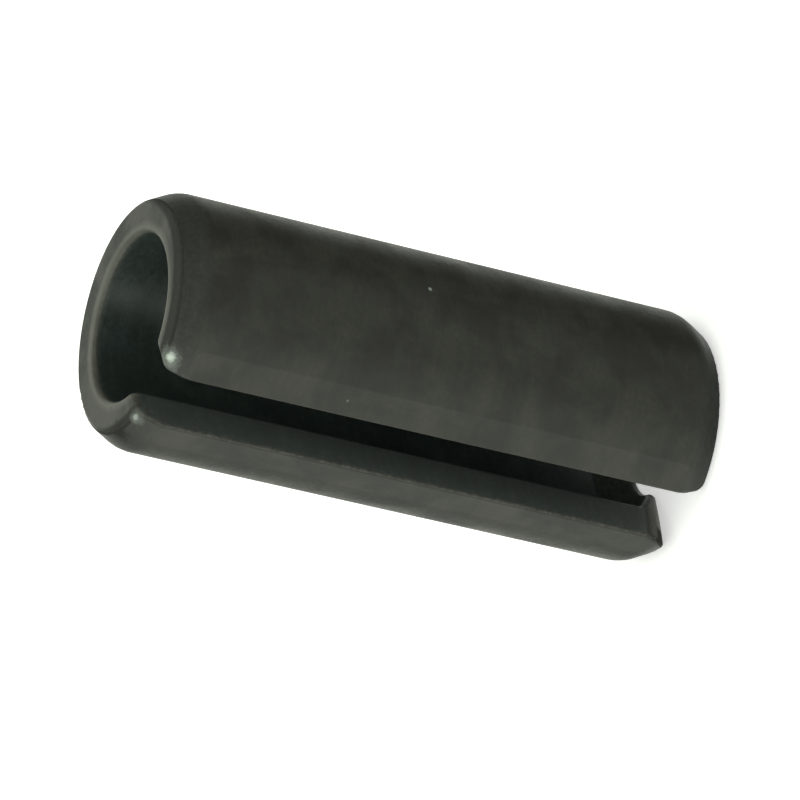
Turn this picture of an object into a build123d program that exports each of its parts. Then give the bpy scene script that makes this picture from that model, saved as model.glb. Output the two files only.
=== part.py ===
from build123d import *
from math import cos, radians, sin, tan
import os

# Slotted spring pin (roll pin): a strip of spring steel rolled to an open tube, with both ends
# swaged to a taper so that the pin starts in its hole. Millimetres, +Z along the pin, and the
# slot faces -Y. The origin is the centre of the lower end face.

# the rolled strip
pin_diameter = 8.65        # free size of a pin for an 8 mm hole
pin_length = 20.0
wall = 1.5                 # thickness of the strip
slot_width = 1.88          # gap between the two lips
lip_flat_tilt = 19.5       # angle from the slot's middle that each straight lip faces
lip_flat_depth = 0.04      # how far a straight lip lies inside the round

# the swaged ends
swage_depth = 0.42         # how far the outside comes in at an end
swage_angle = 27.0         # slope of that taper from the pin's axis
shoulder_radius = 1.2      # blend from the taper to the straight tube
upper_mouth_depth = 0.12   # how far the bore closes in at the upper end
lower_mouth_share = 0.104  # the same at the lower end, closed harder, as a share of the diameter
lower_mouth_land = 0.35    # height of the narrow part at the lower end
mouth_angle = 50.0         # slope of the bore where it closes in
mouth_radius = 0.20        # blend along both sides of that slope

# broken edges
lip_corner_radius = 0.35   # corners of the strip, where a lip meets an end
cropped_corner_share = 0.173   # radius of the one corner cropped round, as a share of the diameter
crop_lean = 10.0           # angle that the cropping cut leans, taking more from the outside
edge_radius = 0.16         # all sharp edges of the ends and the slot

outer_radius = pin_diameter / 2
bore_radius = outer_radius - wall
swage_length = swage_depth / tan(radians(swage_angle))
upper_mouth_length = upper_mouth_depth / tan(radians(mouth_angle))
lower_mouth_depth = lower_mouth_share * pin_diameter
lower_mouth_length = lower_mouth_depth / tan(radians(mouth_angle))
cropped_corner_radius = cropped_corner_share * pin_diameter
past = 1.0                 # how far cutting shapes run past the faces they cut

def turned_bar(profile, blend):
    """Turn a bar of the pin's length from the outline of its side, with its bends blended."""
    with BuildPart() as bar:
        with BuildSketch(Plane.XZ) as half_section:
            with BuildLine():
                Polyline((0, 0), *profile, (0, pin_length), close=True)
            make_face()
            bends = half_section.vertices().filter_by_position(
                Axis.Y, 0, pin_length, inclusive=(False, False)
            )
            fillet(bends, blend)
        revolve(axis=Axis.Z)
    return bar.part

outside = [
    (outer_radius - swage_depth, 0),
    (outer_radius, swage_length),
    (outer_radius, pin_length - swage_length),
    (outer_radius - swage_depth, pin_length),
]
bore = [
    (bore_radius - lower_mouth_depth, 0),
    (bore_radius - lower_mouth_depth, lower_mouth_land),
    (bore_radius, lower_mouth_land + lower_mouth_length),
    (bore_radius, pin_length - upper_mouth_length),
    (bore_radius - upper_mouth_depth, pin_length),
]

with BuildPart() as spring_pin:
    add(turned_bar(outside, shoulder_radius))
    add(turned_bar(bore, mouth_radius), mode=Mode.SUBTRACT)

    # the slot, which widens at the ends where the corners of the lips are round
    with BuildSketch(Plane.XZ) as slot:
        with Locations((0, pin_length / 2)):
            Rectangle(slot_width, pin_length)
        with Locations((0, -past / 2), (0, pin_length + past / 2)):
            Rectangle(pin_diameter, past)
        left, right = slot.vertices().group_by(Axis.X)[1:3]
        fillet([left.sort_by(Axis.Y)[-1], *right], lip_corner_radius)
    extrude(amount=outer_radius + past, mode=Mode.SUBTRACT)

    # the cropped corner
    lean = radians(crop_lean)
    crop_plane = Plane(
        origin=(-slot_width / 2, -outer_radius, 0),
        x_dir=(1, 0, 0),
        z_dir=(0, -cos(lean), sin(lean)),
    )
    with BuildSketch(crop_plane):
        with Locations((-cropped_corner_radius / 2, 0)):
            Rectangle(cropped_corner_radius, 2 * cropped_corner_radius)
        with Locations((-cropped_corner_radius, cropped_corner_radius)):
            Circle(cropped_corner_radius, mode=Mode.SUBTRACT)
    extrude(amount=outer_radius, both=True, mode=Mode.SUBTRACT)

    end_faces = spring_pin.faces().filter_by(Plane.XY)
    slot_faces = spring_pin.faces().filter_by(Plane.YZ)
    round_faces = spring_pin.faces().filter_by(GeomType.CYLINDER)
    corner_faces = round_faces.filter_by(lambda face: abs(face.axis_of_rotation.direction.Z) < 0.5)
    fillet((end_faces + slot_faces + corner_faces).edges(), edge_radius)

    # the rolls leave each lip straight, just inside the round
    for tilt in (-lip_flat_tilt, lip_flat_tilt):
        lip_plane = Plane.XZ.rotated((0, 0, tilt)).offset(outer_radius - lip_flat_depth)
        split(bisect_by=lip_plane, keep=Keep.BOTTOM)

spring_pin.part.label = "spring_pin"
os.makedirs("parts", exist_ok=True)
export_step(spring_pin.part, "parts/spring_pin.step")
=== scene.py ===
import math

import bpy
from mathutils import Matrix, Vector


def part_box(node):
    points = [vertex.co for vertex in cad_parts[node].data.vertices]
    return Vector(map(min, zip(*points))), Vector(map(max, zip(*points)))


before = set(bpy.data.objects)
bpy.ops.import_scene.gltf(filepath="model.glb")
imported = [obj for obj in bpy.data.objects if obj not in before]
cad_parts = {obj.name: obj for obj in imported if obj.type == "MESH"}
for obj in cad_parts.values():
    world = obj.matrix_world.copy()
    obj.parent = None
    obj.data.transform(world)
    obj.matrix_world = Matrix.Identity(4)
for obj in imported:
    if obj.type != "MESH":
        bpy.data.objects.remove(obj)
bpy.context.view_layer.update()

bl_info = {
    "name": "Spring Pin Finish",
    "version": (1, 0, 0),
    "blender": (4, 5, 0),
    "location": "View3D > Sidebar > Spring Pin",
    "description": "Finishes a slotted spring pin in dark oxidised steel on a studio stage",
    "category": "Material",
}

PIN = "spring_pin"

MM_PER_M = 1000.0
NO_HEIGHT = (1.0, 1.0, 0.0)       # a place times this is the place across the pin alone
PIN_LOW, PIN_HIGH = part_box(PIN)
PIN_LENGTH = PIN_HIGH.z - PIN_LOW.z
PIN_RADIUS = (PIN_HIGH.x - PIN_LOW.x) / 2

# Limits of the masks: where each one starts and where it is full. The FACES and TURN limits are
# cosines between the way the surface looks and the named way; the others are in millimetres.
FACES_AXIS = (-0.35, -0.70)       # the wall of the bore
FACES_OUT = (0.50, 0.80)          # the outside
FACES_END = (0.90, 0.985)         # the flat rings
FACES_ACROSS = (0.90, 0.985)      # the strip's cut edges
END_EDGE_TURN = ((0.50, 0.62), (0.995, 0.93))   # rounded edge of a ring: starts, stops
LIP_EDGE_TURN = ((0.42, 0.60), (0.99, 0.92))    # rounded edge of a lip: starts, stops
SWAGE_REACH = (1.05, 0.60)        # from the nearer end
RIM_WIDTH = (0.45, 0.10)          # outward from the wall of the bore
RIM_HEIGHT = (0.35, 0.10)         # down from the upper end
SLOT_SIDE = (-1.2, -1.6)          # y, on the slot's side of the axis
CUT_FACE_REACH = (0.06, 0.02)     # beyond the slot's wall
LIP_EDGE_REACH = (0.30, 0.10)     # beyond the slot's wall

# Marks at one place each, in millimetres from the centre of the lower end: bare-steel chips that
# are partly painted glints, and a painted shadow.
CHIPS_AND_GLINTS = (   # middle, radius, how bare; each halo and core pair at a lip corner is bare steel and a painted glint
    ((1.30, -3.68, 19.88), 0.60, 0.20),
    ((1.42, -3.72, 19.82), 0.24, 0.90),
    ((-1.20, -3.72, 19.93), 0.42, 0.15),
    ((-1.20, -3.72, 19.93), 0.18, 0.50),
    ((4.27, -0.68, 11.08), 0.09, 0.50),
)
# painted shadow: a dark, rougher spot at the upper ring's edge beside the slot's -X lip, standing
# in for the swaged shoulder's shadow
SHOULDER_SHADOW_SPOT = ((-2.36, -3.14, 19.93), 0.58)         # middle, radius
MARK_RAGGEDNESS = 0.16                      # of the radius, both ways
MARK_CORE = 0.20                            # of the radius, where the mark is full
BRIGHT_RING_MIDDLE = (-0.31, 0.45, 0.0)     # the end face keeps its own colour inside this ring; outside it, on one side, it gets painted shade
BRIGHT_RING_LIMITS = (3.70, 3.94)           # radii where the painted shade starts and where it is full

# How the mottling changes the finish.
NOISE_RANGE = (0.30, 0.70)        # of the cloud and grain noises, whose ends are rare
MARK_RANGE = (0.40, 0.68)         # of the mark noise, from bare to full mark
SPECK_CELLS = (0.86, 0.90)        # of the cells, in chance order: only the last ones hold a speck
SPECK_CORE = 0.4                  # of a speck's size, where it is full
WEAR_RANGE = (0.35, 0.65)         # of the grain noise, from least to most wear
LEAST_WEAR = 0.35
GRAIN_TINT = (0.80, 1.18)         # darkest and lightest share of the colour
STREAK_TINT = (0.92, 1.10)
SCALE_RANGE = (0.2, 0.8)          # of the clouds, from dark scale to pale steel
CLOUD_ROUGHNESS = (0.06, -0.01)   # added to the roughness in dark and in light clouds
GRAIN_ROUGHNESS = (-0.05, 0.05)
GRAIN_SHARE, MARK_SHARE = 0.5, 0.5    # of the bump's height
CUT_FACE_GRAIN = 0.1              # share of the height that the smooth cut faces keep

FLOOR_REACH = 60 * PIN_LENGTH
FLOOR_GAP = 0.00001               # keeps the floor out of the lower end's plane
FLOOR_ROUGHNESS = 0.9
CAMERA_CLIP = 100.0               # it sees this many times nearer and farther than its target

# Soft panels of light: azimuth from the slot's side, elevation, the angles from the panel's
# middle where the glow is full and where it ends, all in degrees, and the glow.
SOFT_PANELS = (
    (-24.0, -14.0, 12.0, 82.0, 1.50),
    (75.0, -14.0, 5.0, 62.0, 0.52),
    (214.0, -24.0, 22.0, 42.0, 0.75),
    (214.0, 30.0, 12.0, 45.0, 0.48),
    (0.0, 90.0, 10.0, 55.0, 1.80),
)


# ---------------------------------------------------------------- node helpers


class Wiring:
    """Adds nodes to one tree and joins them; a value that isn't a socket becomes the default."""

    NUMBER_OUT = ("DISTANCE", "DOT_PRODUCT", "LENGTH")    # vector operations that give a number

    def __init__(self, tree):
        self.tree = tree

    def node(self, kind, **settings):
        made = self.tree.nodes.new(kind)
        for name, value in settings.items():
            setattr(made, name, value)
        return made

    def feed(self, socket, value):
        if isinstance(value, bpy.types.NodeSocket):
            self.tree.links.new(value, socket)
        else:
            socket.default_value = value

    def feed_all(self, sockets, values):
        for socket, value in zip(sockets, values):
            self.feed(socket, value)

    def group(self, tree):
        return self.node("ShaderNodeGroup", node_tree=tree)

    def math(self, operation, *values):
        made = self.node("ShaderNodeMath", operation=operation)
        self.feed_all(made.inputs, values)
        return made.outputs[0]

    def multiply(self, first, second):
        return self.math("MULTIPLY", first, second)

    def vector(self, operation, *values):
        made = self.node("ShaderNodeVectorMath", operation=operation)
        self.feed_all(made.inputs, values)
        return made.outputs["Value" if operation in self.NUMBER_OUT else "Vector"]

    def split(self, vector):
        made = self.node("ShaderNodeSeparateXYZ")
        self.feed(made.inputs[0], vector)
        return made.outputs

    def ramp(self, value, low, high, low_to=0.0, high_to=1.0):
        """A smooth step of a value from low..high to low_to..high_to."""
        made = self.node("ShaderNodeMapRange", interpolation_type="SMOOTHSTEP")
        names = ("Value", "From Min", "From Max", "To Min", "To Max")
        self.feed_all([made.inputs[name] for name in names], (value, low, high, low_to, high_to))
        return made.outputs["Result"]

    def band(self, value, start, stop):
        """A mask that rises over the limits start and falls over the limits stop."""
        return self.multiply(self.ramp(value, *start), self.ramp(value, *stop))

    def mix(self, factor, first, second, blend="MIX"):
        made = self.node("ShaderNodeMix", data_type="RGBA", blend_type=blend)
        colors = [socket for socket in made.inputs if socket.type == "RGBA"]
        self.feed_all((made.inputs[0], *colors), (factor, first, second))
        return next(socket for socket in made.outputs if socket.type == "RGBA")

    def noise(self, vector, scale, detail, roughness, distortion=0.0):
        made = self.node("ShaderNodeTexNoise")
        names = ("Vector", "Scale", "Detail", "Roughness", "Distortion")
        values = (vector, scale, detail, roughness, distortion)
        self.feed_all([made.inputs[name] for name in names], values)
        return made.outputs["Fac"]


FLOAT, VECTOR = "NodeSocketFloat", "NodeSocketVector"


def new_group(name, inputs, outputs):
    """Start a shader group from (name, type, default) inputs and (name, type) outputs."""
    group = bpy.data.node_groups.new(name, "ShaderNodeTree")
    for label, kind, default in inputs:
        socket = group.interface.new_socket(label, in_out="INPUT", socket_type=kind)
        if default is not None:
            socket.default_value = default
    for label, kind in outputs:
        group.interface.new_socket(label, in_out="OUTPUT", socket_type=kind)
    wire = Wiring(group)
    return wire, wire.node("NodeGroupInput").outputs, wire.node("NodeGroupOutput").inputs


# ---------------------------------------------------------------- the pin's finish


def make_zones_group():
    """Masks of the pin's surfaces, from place in millimetres and from the way they look."""
    wire, given, made = new_group(
        "pin_zones",
        [
            ("Slot Half Width", FLOAT, 0.94),
            ("End Height", FLOAT, 20.0),
            ("Bore Radius", FLOAT, 2.825),
        ],
        [
            ("Place", VECTOR),
            ("Bore", FLOAT),
            ("Cut Face", FLOAT),
            ("End Face", FLOAT),
            ("Inner Rim", FLOAT),
            ("Swage", FLOAT),
            ("End Edge", FLOAT),
            ("Lip Edge", FLOAT),
        ],
    )
    here = wire.node("ShaderNodeTexCoord").outputs
    place = wire.vector("MULTIPLY", here["Object"], [MM_PER_M] * 3)
    at = wire.split(place)
    facing = wire.split(here["Normal"])
    from_axis = wire.vector("MULTIPLY", place, NO_HEIGHT)
    outward = wire.vector("DOT_PRODUCT", here["Normal"], wire.vector("NORMALIZE", from_axis))
    steep = wire.math("ABSOLUTE", facing["Z"])
    sideways = wire.math("ABSOLUTE", facing["X"])

    radius = wire.vector("LENGTH", from_axis)
    beyond_bore = wire.math("SUBTRACT", radius, given["Bore Radius"])
    beyond_slot = wire.math(
        "SUBTRACT", wire.math("ABSOLUTE", at["X"]), given["Slot Half Width"]
    )
    below_top = wire.math("SUBTRACT", given["End Height"], at["Z"])
    from_end = wire.math("MINIMUM", at["Z"], below_top)
    slot_side = wire.ramp(at["Y"], *SLOT_SIDE)
    cut_reach = wire.multiply(slot_side, wire.ramp(beyond_slot, *CUT_FACE_REACH))
    lip_reach = wire.multiply(slot_side, wire.ramp(beyond_slot, *LIP_EDGE_REACH))

    for name, socket in (
        ("Place", place),
        ("Bore", wire.ramp(outward, *FACES_AXIS)),
        ("Cut Face", wire.multiply(wire.ramp(sideways, *FACES_ACROSS), cut_reach)),
        ("End Face", wire.ramp(steep, *FACES_END)),
        ("Inner Rim", wire.multiply(
            wire.ramp(beyond_bore, *RIM_WIDTH), wire.ramp(below_top, *RIM_HEIGHT)
        )),
        ("Swage", wire.multiply(
            wire.ramp(outward, *FACES_OUT), wire.ramp(from_end, *SWAGE_REACH)
        )),
        ("End Edge", wire.band(steep, *END_EDGE_TURN)),
        ("Lip Edge", wire.multiply(lip_reach, wire.band(sideways, *LIP_EDGE_TURN))),
    ):
        wire.feed(made[name], socket)
    return wire.tree


def make_oxide_group():
    """Cloudy and fine mottling of an oxide finish, with short marks round the pin."""
    wire, given, made = new_group(
        "oxide_mottling",
        [
            ("Place", VECTOR, None),
            ("Cloud Size", FLOAT, 1.7),
            ("Grain Size", FLOAT, 0.16),
            ("Mark Length", FLOAT, 1.4),
            ("Mark Slimness", FLOAT, 7.0),
        ],
        [("Clouds", FLOAT), ("Grain", FLOAT), ("Marks", FLOAT)],
    )
    per_cloud, per_grain, per_mark = (
        wire.math("DIVIDE", 1.0, given[name])
        for name in ("Cloud Size", "Grain Size", "Mark Length")
    )
    clouds = wire.noise(given["Place"], per_cloud, detail=4.0, roughness=0.55, distortion=0.4)
    grain = wire.noise(given["Place"], per_grain, detail=5.0, roughness=0.65)
    squeeze = wire.node("ShaderNodeCombineXYZ")
    wire.feed_all(squeeze.inputs, (1.0, 1.0, given["Mark Slimness"]))
    squeezed = wire.vector("MULTIPLY", given["Place"], squeeze.outputs[0])
    marks = wire.noise(squeezed, per_mark, detail=5.0, roughness=0.7, distortion=0.3)
    wire.feed(made["Clouds"], wire.ramp(clouds, *NOISE_RANGE))
    wire.feed(made["Grain"], grain)
    wire.feed(made["Marks"], wire.ramp(marks, *MARK_RANGE))
    return wire.tree


def make_specks_group():
    """Sparse bright chips and dust, a few hundredths of a millimetre across."""
    wire, given, made = new_group(
        "bright_specks",
        [("Place", VECTOR, None), ("Spacing", FLOAT, 1.6), ("Size", FLOAT, 0.055)],
        [("Specks", FLOAT)],
    )
    cells = wire.node("ShaderNodeTexVoronoi", feature="F1")
    wire.feed(cells.inputs["Vector"], given["Place"])
    wire.feed(cells.inputs["Scale"], wire.math("DIVIDE", 1.0, given["Spacing"]))
    reach = wire.math("DIVIDE", given["Size"], given["Spacing"])
    few_cells = wire.ramp(wire.split(cells.outputs["Color"])["X"], *SPECK_CELLS)
    inside = wire.ramp(cells.outputs["Distance"], reach, wire.multiply(reach, SPECK_CORE))
    wire.feed(made["Specks"], wire.multiply(few_cells, inside))
    return wire.tree


def make_spot(wire, place, grain, centre, radius):
    """Mask of a mark with a slightly ragged outline at one place on the pin."""
    reach = MARK_RAGGEDNESS * radius
    ragged = wire.ramp(grain, *NOISE_RANGE, -reach, reach)
    gap = wire.math("ADD", wire.vector("DISTANCE", place, centre), ragged)
    return wire.ramp(gap, radius, MARK_CORE * radius)


def make_steel_material(finish):
    """Dark oxidised steel: olive rolled skin, bluish cut faces, pale worn edges."""
    material = bpy.data.materials.new("oxidised_spring_steel")
    material.use_nodes = True
    wire = Wiring(material.node_tree)
    shader = material.node_tree.nodes["Principled BSDF"]

    zone_node = wire.group(make_zones_group())
    zone_node.inputs["Slot Half Width"].default_value = finish.slot_width * MM_PER_M / 2
    zone_node.inputs["End Height"].default_value = PIN_LENGTH * MM_PER_M
    zone_node.inputs["Bore Radius"].default_value = (PIN_RADIUS - finish.wall) * MM_PER_M
    zones = zone_node.outputs
    place = zones["Place"]

    mottle_node = wire.group(make_oxide_group())
    mottle_node.inputs["Cloud Size"].default_value = finish.cloud_size * MM_PER_M
    wire.feed(mottle_node.inputs["Place"], place)
    clouds, grain, marks = mottle_node.outputs

    speck_node = wire.group(make_specks_group())
    wire.feed(speck_node.inputs["Place"], place)
    specks = speck_node.outputs["Specks"]

    # painted shade: on one side, outside a ring set off the axis, the end face and its rounded
    # edge take the dark skin colour of the shaded shoulder beyond them, and are made rougher
    from_middle = wire.vector(
        "DISTANCE", wire.vector("MULTIPLY", place, NO_HEIGHT), BRIGHT_RING_MIDDLE
    )
    painted_shade_side = wire.ramp(from_middle, *BRIGHT_RING_LIMITS)
    painted_shoulder_shade = wire.multiply(
        wire.math("MAXIMUM", zones["End Face"], zones["End Edge"]), painted_shade_side
    )
    end_wear = wire.multiply(zones["End Edge"], wire.ramp(painted_shade_side, 0.0, 1.0, 1.0, 0.0))
    worn = wire.multiply(
        wire.math("MAXIMUM", end_wear, zones["Lip Edge"]),
        wire.ramp(grain, *WEAR_RANGE, LEAST_WEAR, finish.edge_wear),
    )
    # painted shadow of the swaged shoulder beside the slot
    shoulder_shadow_spot = make_spot(wire, place, grain, *SHOULDER_SHADOW_SPOT)
    # bare-steel chips; those at the lip corners are partly painted glints
    spots = [
        wire.multiply(make_spot(wire, place, grain, centre, radius), bare)
        for centre, radius, bare in CHIPS_AND_GLINTS
    ]
    chipped_and_glinting = spots[0]
    for spot in spots[1:]:
        chipped_and_glinting = wire.math("MAXIMUM", chipped_and_glinting, spot)

    # colour, from the oxide up to the marks on it
    skin = wire.mix(clouds, finish.skin_dark[:], finish.skin_light[:])
    skin = wire.mix(zones["Swage"], skin, finish.swage_color[:])
    inside = wire.mix(clouds, finish.bore_dark[:], finish.bore_light[:])
    scale = wire.mix(
        wire.ramp(clouds, *SCALE_RANGE), finish.end_dark[:], finish.end_light[:]
    )
    color = wire.mix(zones["Bore"], skin, inside)
    for mask, layer in (
        (zones["Cut Face"], finish.cut_color[:]),
        (zones["End Face"], scale),
        # painted shade on the outer part of the end face, on one side
        (painted_shoulder_shade, finish.skin_dark[:]),
        (zones["Inner Rim"], finish.rim_color[:]),
        (worn, finish.worn_color[:]),
    ):
        color = wire.mix(mask, color, layer)
    for tint in (
        wire.ramp(grain, *NOISE_RANGE, *GRAIN_TINT),
        wire.ramp(marks, 0.0, 1.0, *STREAK_TINT),
    ):
        color = wire.mix(1.0, color, tint, blend="MULTIPLY")
    for mask, layer in (
        # painted shadow beside the slot
        (shoulder_shadow_spot, finish.shoulder_shadow_color[:]),
        (specks, finish.speck_color[:]),
        # bare-steel chips, partly painted glints
        (chipped_and_glinting, finish.chip_and_glint_color[:]),
    ):
        color = wire.mix(mask, color, layer)
    wire.feed(shader.inputs["Base Color"], color)

    # the chips, with their painted glints, are bare metal
    metal = wire.math("MAXIMUM", wire.multiply(worn, finish.worn_metal), chipped_and_glinting)
    wire.feed(shader.inputs["Metallic"], metal)

    dark_clouds, light_clouds = CLOUD_ROUGHNESS
    rough = wire.ramp(
        clouds, 0.0, 1.0, finish.roughness + dark_clouds, finish.roughness + light_clouds
    )
    dulled = wire.multiply(wire.math("MAXIMUM", painted_shoulder_shade, shoulder_shadow_spot), finish.dull_roughness)
    for extra in (wire.ramp(grain, *NOISE_RANGE, *GRAIN_ROUGHNESS), dulled):
        rough = wire.math("ADD", rough, extra)
    wire.feed(shader.inputs["Roughness"], rough)

    height = wire.math(
        "ADD", wire.multiply(grain, GRAIN_SHARE), wire.multiply(marks, MARK_SHARE)
    )
    kept = wire.ramp(zones["Cut Face"], 0.0, 1.0, 1.0, CUT_FACE_GRAIN)
    bump = wire.node("ShaderNodeBump")
    bump.inputs["Strength"].default_value = 1.0
    bump.inputs["Distance"].default_value = finish.grain_depth
    wire.feed(bump.inputs["Height"], wire.multiply(height, kept))
    wire.feed(shader.inputs["Normal"], bump.outputs["Normal"])
    return material


# ---------------------------------------------------------------- settings


# one short function for each kind of setting


def color_setting(name, description, red, green, blue):
    return bpy.props.FloatVectorProperty(
        name=name, description=description, subtype="COLOR", size=4,
        default=(red, green, blue, 1.0), min=0.0, max=1.0,
    )


def share_setting(name, description, default):
    return bpy.props.FloatProperty(
        name=name, description=description, subtype="FACTOR",
        default=default, min=0.0, max=1.0,
    )


def length_setting(name, description, default, least=0.0, precision=5):
    return bpy.props.FloatProperty(
        name=name, description=description, unit="LENGTH",
        default=default, min=least, precision=precision,
    )


def angle_setting(name, description, degrees):
    return bpy.props.FloatProperty(
        name=name, description=description, subtype="ANGLE", default=math.radians(degrees),
    )


def glow_setting(name, description, default):
    return bpy.props.FloatProperty(
        name=name, description=description, default=default, min=0.0,
    )


class PinFinishSettings(bpy.types.PropertyGroup):
    """Sizes and colours of the pin's oxide finish, with its painted shade, painted shadow and
    painted glints.
    """

    slot_width: length_setting("Slot Width", "Gap between the two lips", 0.00188, 0.0005)
    wall: length_setting("Wall", "Thickness of the rolled strip", 0.0015, 0.0002)
    cloud_size: length_setting("Cloud Size", "Size of the clouds in the oxide", 0.0017, 0.0001)
    grain_depth: length_setting(
        "Grain Depth", "Depth of the fine grain and marks", 0.000006, precision=7
    )
    skin_dark: color_setting(
        "Skin Dark", "Darker clouds of the rolled outside", 0.0075, 0.0080, 0.0048
    )
    skin_light: color_setting(
        "Skin Light", "Lighter clouds of the rolled outside", 0.0185, 0.0195, 0.0130
    )
    bore_dark: color_setting("Bore Dark", "Darker clouds of the inside wall", 0.024, 0.033, 0.031)
    bore_light: color_setting(
        "Bore Light", "Lighter clouds of the inside wall", 0.036, 0.049, 0.046
    )
    cut_color: color_setting(
        "Cut Face", "The strip's cut edges along the slot", 0.054, 0.063, 0.061
    )
    end_dark: color_setting(
        "End Dark", "Darker scale on the flat rings at the two ends", 0.006, 0.007, 0.004
    )
    end_light: color_setting(
        "End Light", "Paler steel on the flat rings at the two ends", 0.030, 0.031, 0.025
    )
    rim_color: color_setting(
        "Inner Rim", "Pale ridge round the mouth of the bore", 0.085, 0.088, 0.075
    )
    swage_color: color_setting("Swage", "Rubbed oxide on the tapered ends", 0.022, 0.024, 0.020)
    worn_color: color_setting(
        "Worn Edge", "Steel showing where an edge has rubbed", 0.07, 0.07, 0.06
    )
    speck_color: color_setting("Speck", "Tiny pale specks in the finish", 0.10, 0.10, 0.09)
    # bare steel at the lip corners, partly a painted glint there, and one small real speck on the
    # side
    chip_and_glint_color: color_setting(
        "Chip", "Bare steel where a corner of the strip has been knocked", 0.62, 0.70, 0.64
    )
    # colour of the painted shadow of the swaged shoulder, beside the slot at the upper end
    shoulder_shadow_color: color_setting("Pit", "Dark stain at the ring beside the slot", 0.003, 0.003, 0.002)
    roughness: share_setting("Roughness", "Roughness of the oxide, before its mottling", 0.38)
    # this roughness is added over the painted shade on the end face and over the painted shadow
    # beside the slot
    dull_roughness: share_setting(
        "Dull Roughness", "Roughness added where the die or a stain dulled the surface", 0.40
    )
    edge_wear: share_setting("Edge Wear", "How much bare steel shows on the edges", 0.8)
    worn_metal: share_setting("Worn Metal", "How metallic the worn edges look", 0.1)


class StageSettings(bpy.types.PropertyGroup):
    """Floor, lights and camera of the studio stage."""

    floor_color: color_setting("Floor", "Colour of the plain floor", 0.9, 0.9, 0.9)
    floor_glow: glow_setting(
        "Floor Glow", "Light that comes up through the floor, as from a light table", 0.55
    )
    room_color: color_setting("Room", "Colour of the soft light from all round", 0.965, 1.0, 0.90)
    room_strength: glow_setting(
        "Room Strength", "Brightness of the soft light from all round", 0.13
    )
    camera_azimuth: angle_setting(
        "Camera Azimuth", "Way the camera stands round the pin, from the slot's side", 35.2
    )
    camera_elevation: angle_setting(
        "Camera Elevation", "Height of the camera above the floor, as an angle", 24.57
    )
    camera_roll: angle_setting(
        "Camera Roll", "Turn of the camera about its own line of sight", -76.94
    )
    camera_distance: length_setting(
        "Camera Distance", "From the camera to the point that it looks at", 0.2238, 0.01
    )
    camera_target: bpy.props.FloatVectorProperty(
        name="Camera Target", description="Point that the camera looks at",
        size=3, default=(-0.000509, -0.000426, 0.00988), subtype="TRANSLATION", precision=5,
    )
    camera_lens: bpy.props.FloatProperty(
        name="Lens", description="Focal length of the camera",
        default=303.44, min=1.0, unit="CAMERA",
    )


# ---------------------------------------------------------------- operators


class PIN_OT_finish_steel(bpy.types.Operator):
    """Give the spring pin its oxidised steel finish"""

    bl_idname = "spring_pin.finish_steel"
    bl_label = "Finish Spring Pin"

    def execute(self, context):
        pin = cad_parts.get(PIN)
        if pin is None:
            raise RuntimeError("the frame has no spring pin to finish")
        material = make_steel_material(context.scene.pin_finish)
        for slot in pin.material_slots:
            slot.material = material
        return {"FINISHED"}


def from_angles(azimuth, elevation, distance=1.0):
    """Offset to a place at an azimuth from the slot's side and an angle above the floor."""
    return distance * Vector((
        math.sin(azimuth) * math.cos(elevation),
        -math.cos(azimuth) * math.cos(elevation),
        math.sin(elevation),
    ))


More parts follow.
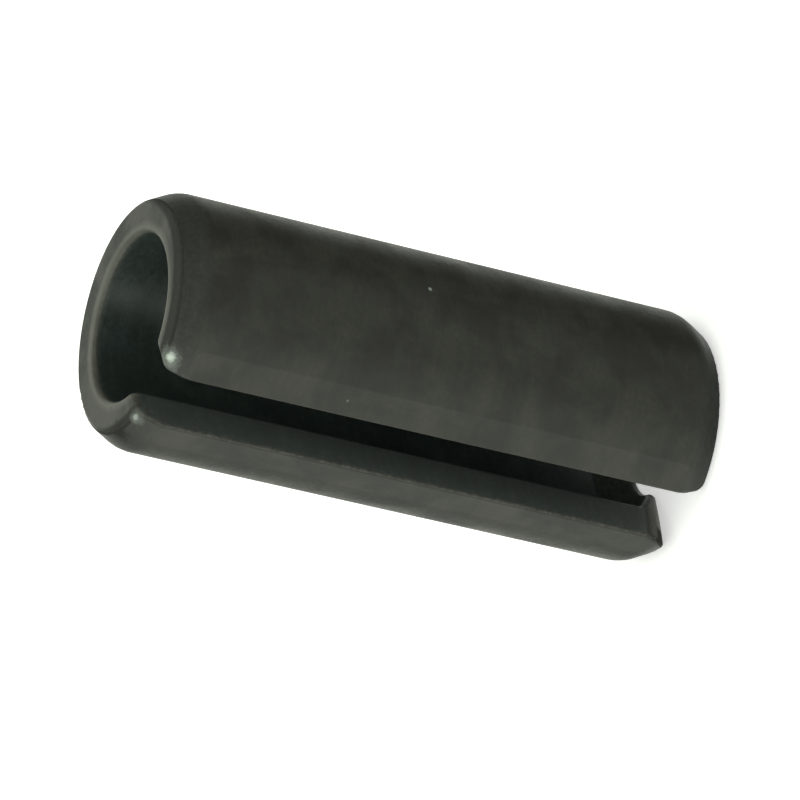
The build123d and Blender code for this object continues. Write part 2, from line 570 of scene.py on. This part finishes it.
class PIN_OT_build_stage(bpy.types.Operator):
    """Set the floor, the soft studio light and the camera"""

    bl_idname = "spring_pin.build_stage"
    bl_label = "Build Stage"

    def execute(self, context):
        stage = context.scene.pin_stage
        self.lay_floor(context.scene, stage)
        self.light_room(context.scene, stage)
        self.set_camera(context.scene, stage)
        context.scene.view_settings.view_transform = "Standard"
        return {"FINISHED"}

    def lay_floor(self, scene, stage):
        """A plain pale sheet that glows a little, as a light table does."""
        mesh = bpy.data.meshes.new("studio_floor")
        corners = ((-1, -1), (1, -1), (1, 1), (-1, 1))
        mesh.from_pydata(
            [(x * FLOOR_REACH, y * FLOOR_REACH, -FLOOR_GAP) for x, y in corners],
            [],
            [range(len(corners))],
        )
        mesh.materials.append(self.make_floor_material(stage))
        floor = bpy.data.objects.new("studio_floor", mesh)
        floor.visible_glossy = False
        scene.collection.objects.link(floor)

    def make_floor_material(self, stage):
        """Pale and matt from above, and clear from below, so that the lower end shows there."""
        material = bpy.data.materials.new("studio_floor")
        material.use_nodes = True
        nodes = material.node_tree.nodes
        shader = nodes["Principled BSDF"]
        shader.inputs["Base Color"].default_value = stage.floor_color[:]
        shader.inputs["Roughness"].default_value = FLOOR_ROUGHNESS
        shader.inputs["Emission Color"].default_value = stage.floor_color[:]
        shader.inputs["Emission Strength"].default_value = stage.floor_glow
        wire = Wiring(material.node_tree)
        from_below = wire.multiply(
            wire.node("ShaderNodeNewGeometry").outputs["Backfacing"],
            wire.node("ShaderNodeLightPath").outputs["Is Camera Ray"],
        )
        clear = wire.node("ShaderNodeBsdfTransparent").outputs["BSDF"]
        choice = wire.node("ShaderNodeMixShader")
        wire.feed_all(choice.inputs, (from_below, shader.outputs["BSDF"], clear))
        wire.feed(nodes["Material Output"].inputs["Surface"], choice.outputs["Shader"])
        return material

    def light_room(self, scene, stage):
        """A soft room: even light from all round, and brighter soft panels in a few ways."""
        world = bpy.data.worlds.new("soft_room")
        world.use_nodes = True
        wire = Wiring(world.node_tree)
        way = wire.node("ShaderNodeTexCoord").outputs["Generated"]
        glow = stage.room_strength
        for *angles, strength in SOFT_PANELS:
            azimuth, elevation, full, end = (math.radians(angle) for angle in angles)
            toward = wire.vector("DOT_PRODUCT", way, from_angles(azimuth, elevation))
            panel = wire.ramp(toward, math.cos(end), math.cos(full), 0.0, strength)
            glow = wire.math("ADD", glow, panel)
        background = world.node_tree.nodes["Background"]
        background.inputs["Color"].default_value = stage.room_color[:]
        wire.feed(background.inputs["Strength"], glow)
        scene.world = world

    def set_camera(self, scene, stage):
        data = bpy.data.cameras.new("studio_camera")
        data.lens = stage.camera_lens
        data.clip_start = stage.camera_distance / CAMERA_CLIP
        data.clip_end = stage.camera_distance * CAMERA_CLIP
        camera = bpy.data.objects.new("studio_camera", data)
        away = from_angles(stage.camera_azimuth, stage.camera_elevation, stage.camera_distance)
        camera.location = Vector(stage.camera_target) + away
        looking = (-away).to_track_quat("-Z", "Y").to_matrix()
        rolled = looking @ Matrix.Rotation(stage.camera_roll, 3, "Z")
        camera.rotation_euler = rolled.to_euler()
        scene.collection.objects.link(camera)
        scene.camera = camera


class PIN_PT_panel(bpy.types.Panel):
    """The spring pin's finish and its stage"""

    bl_idname = "PIN_PT_panel"
    bl_label = "Spring Pin"
    bl_space_type = "VIEW_3D"
    bl_region_type = "UI"
    bl_category = "Spring Pin"

    def draw(self, context):
        for settings, operator in (
            (context.scene.pin_finish, PIN_OT_finish_steel),
            (context.scene.pin_stage, PIN_OT_build_stage),
        ):
            box = self.layout.box()
            for name in type(settings).__annotations__:
                box.prop(settings, name)
            box.operator(operator.bl_idname)


CLASSES = (
    PinFinishSettings,
    StageSettings,
    PIN_OT_finish_steel,
    PIN_OT_build_stage,
    PIN_PT_panel,
)


def register():
    for cls in CLASSES:
        bpy.utils.register_class(cls)
    bpy.types.Scene.pin_finish = bpy.props.PointerProperty(type=PinFinishSettings)
    bpy.types.Scene.pin_stage = bpy.props.PointerProperty(type=StageSettings)


def unregister():
    del bpy.types.Scene.pin_stage
    del bpy.types.Scene.pin_finish
    for cls in reversed(CLASSES):
        bpy.utils.unregister_class(cls)


def main():
    register()
    bpy.ops.spring_pin.finish_steel()
    bpy.ops.spring_pin.build_stage()


if __name__ == "__main__":
    main()
